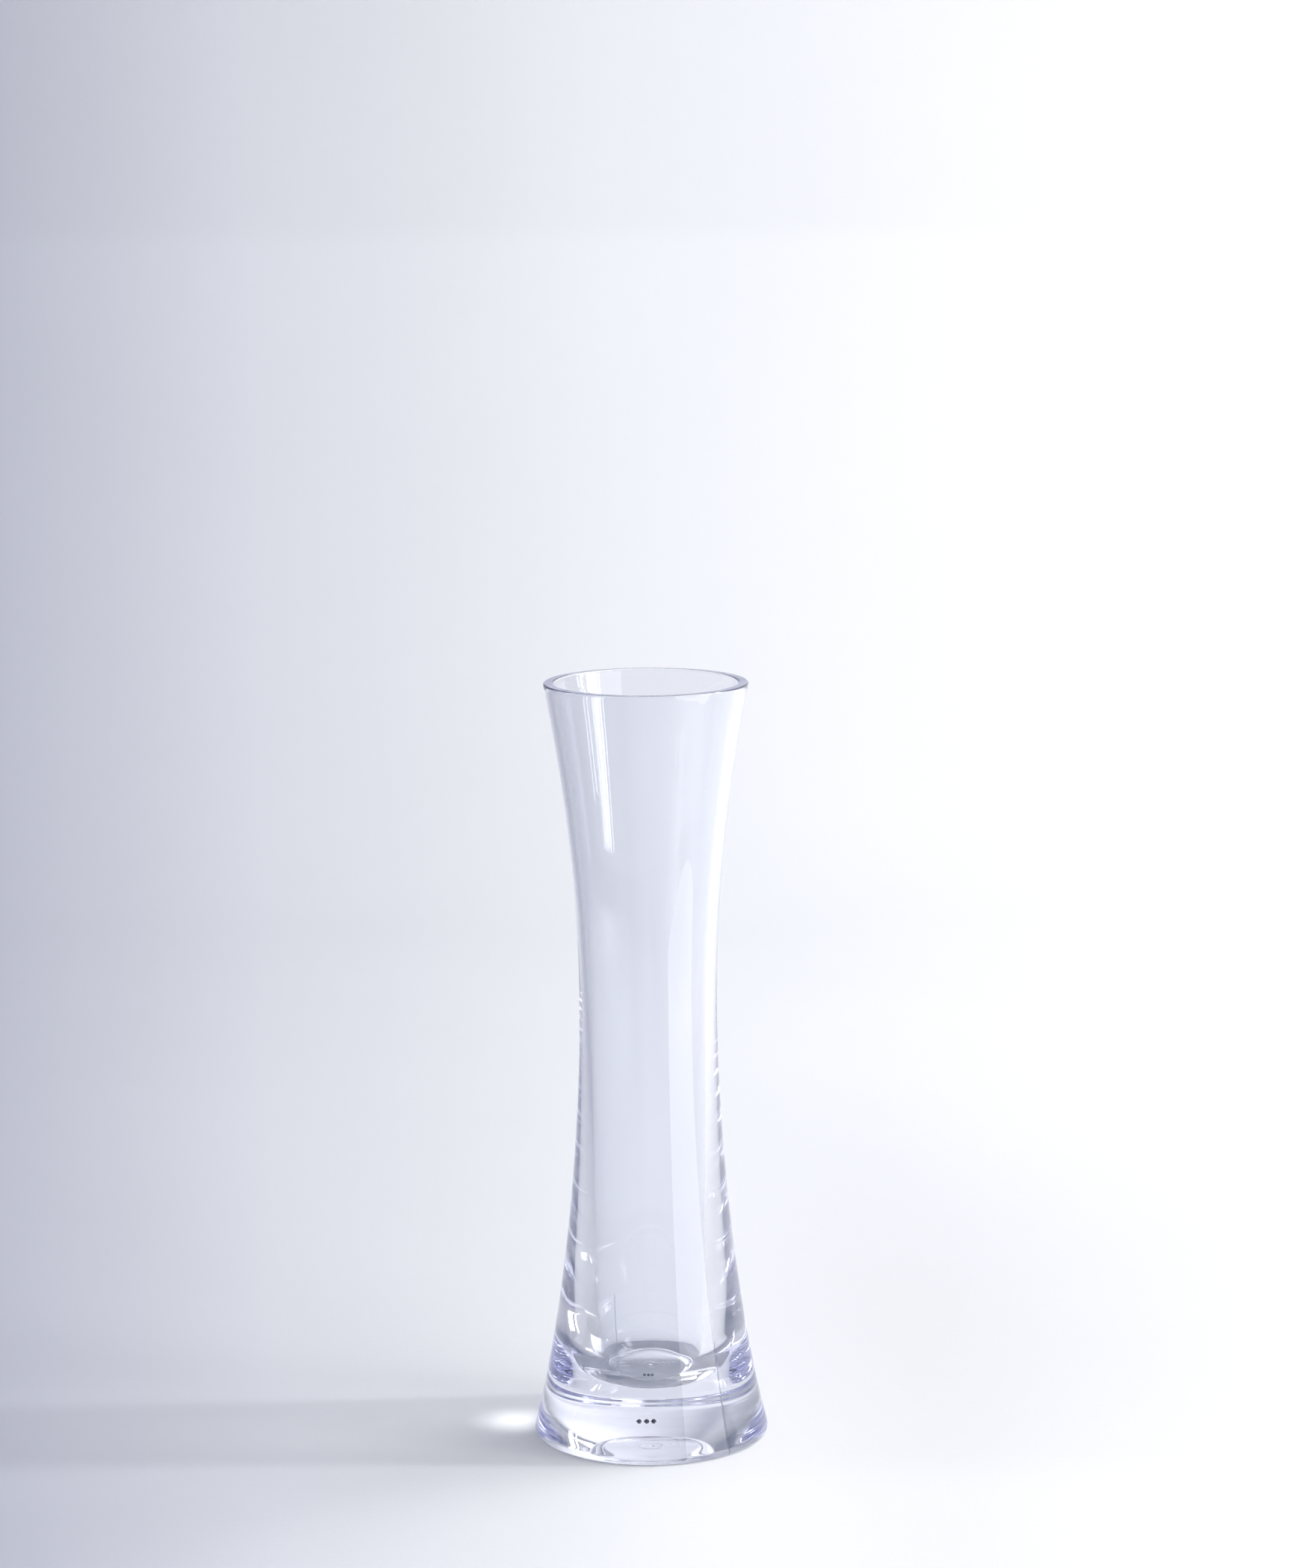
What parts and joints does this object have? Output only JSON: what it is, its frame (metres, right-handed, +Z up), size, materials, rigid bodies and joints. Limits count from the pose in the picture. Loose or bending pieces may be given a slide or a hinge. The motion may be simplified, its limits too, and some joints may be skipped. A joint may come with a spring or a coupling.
{
  "type": "flower vase",
  "caption": "Waisted clear moulded flower vase with a wide thick foot, a narrow tapering well for stems and a flared open mouth.",
  "frame": {"origin": "centre of the flat ring that the vase stands on", "axes": "+Z up along the vase's own axis, from the foot to the rim; the vase is round, so +X and +Y are free"},
  "size_m": [0.0618, 0.0618, 0.2],
  "materials": {
    "clear_plastic": "clear, pale lavender-blue tint, moulded gloss"
  },
  "bodies": {
    "root": {"vase_body": "clear_plastic"}
  },
  "joints": []
}
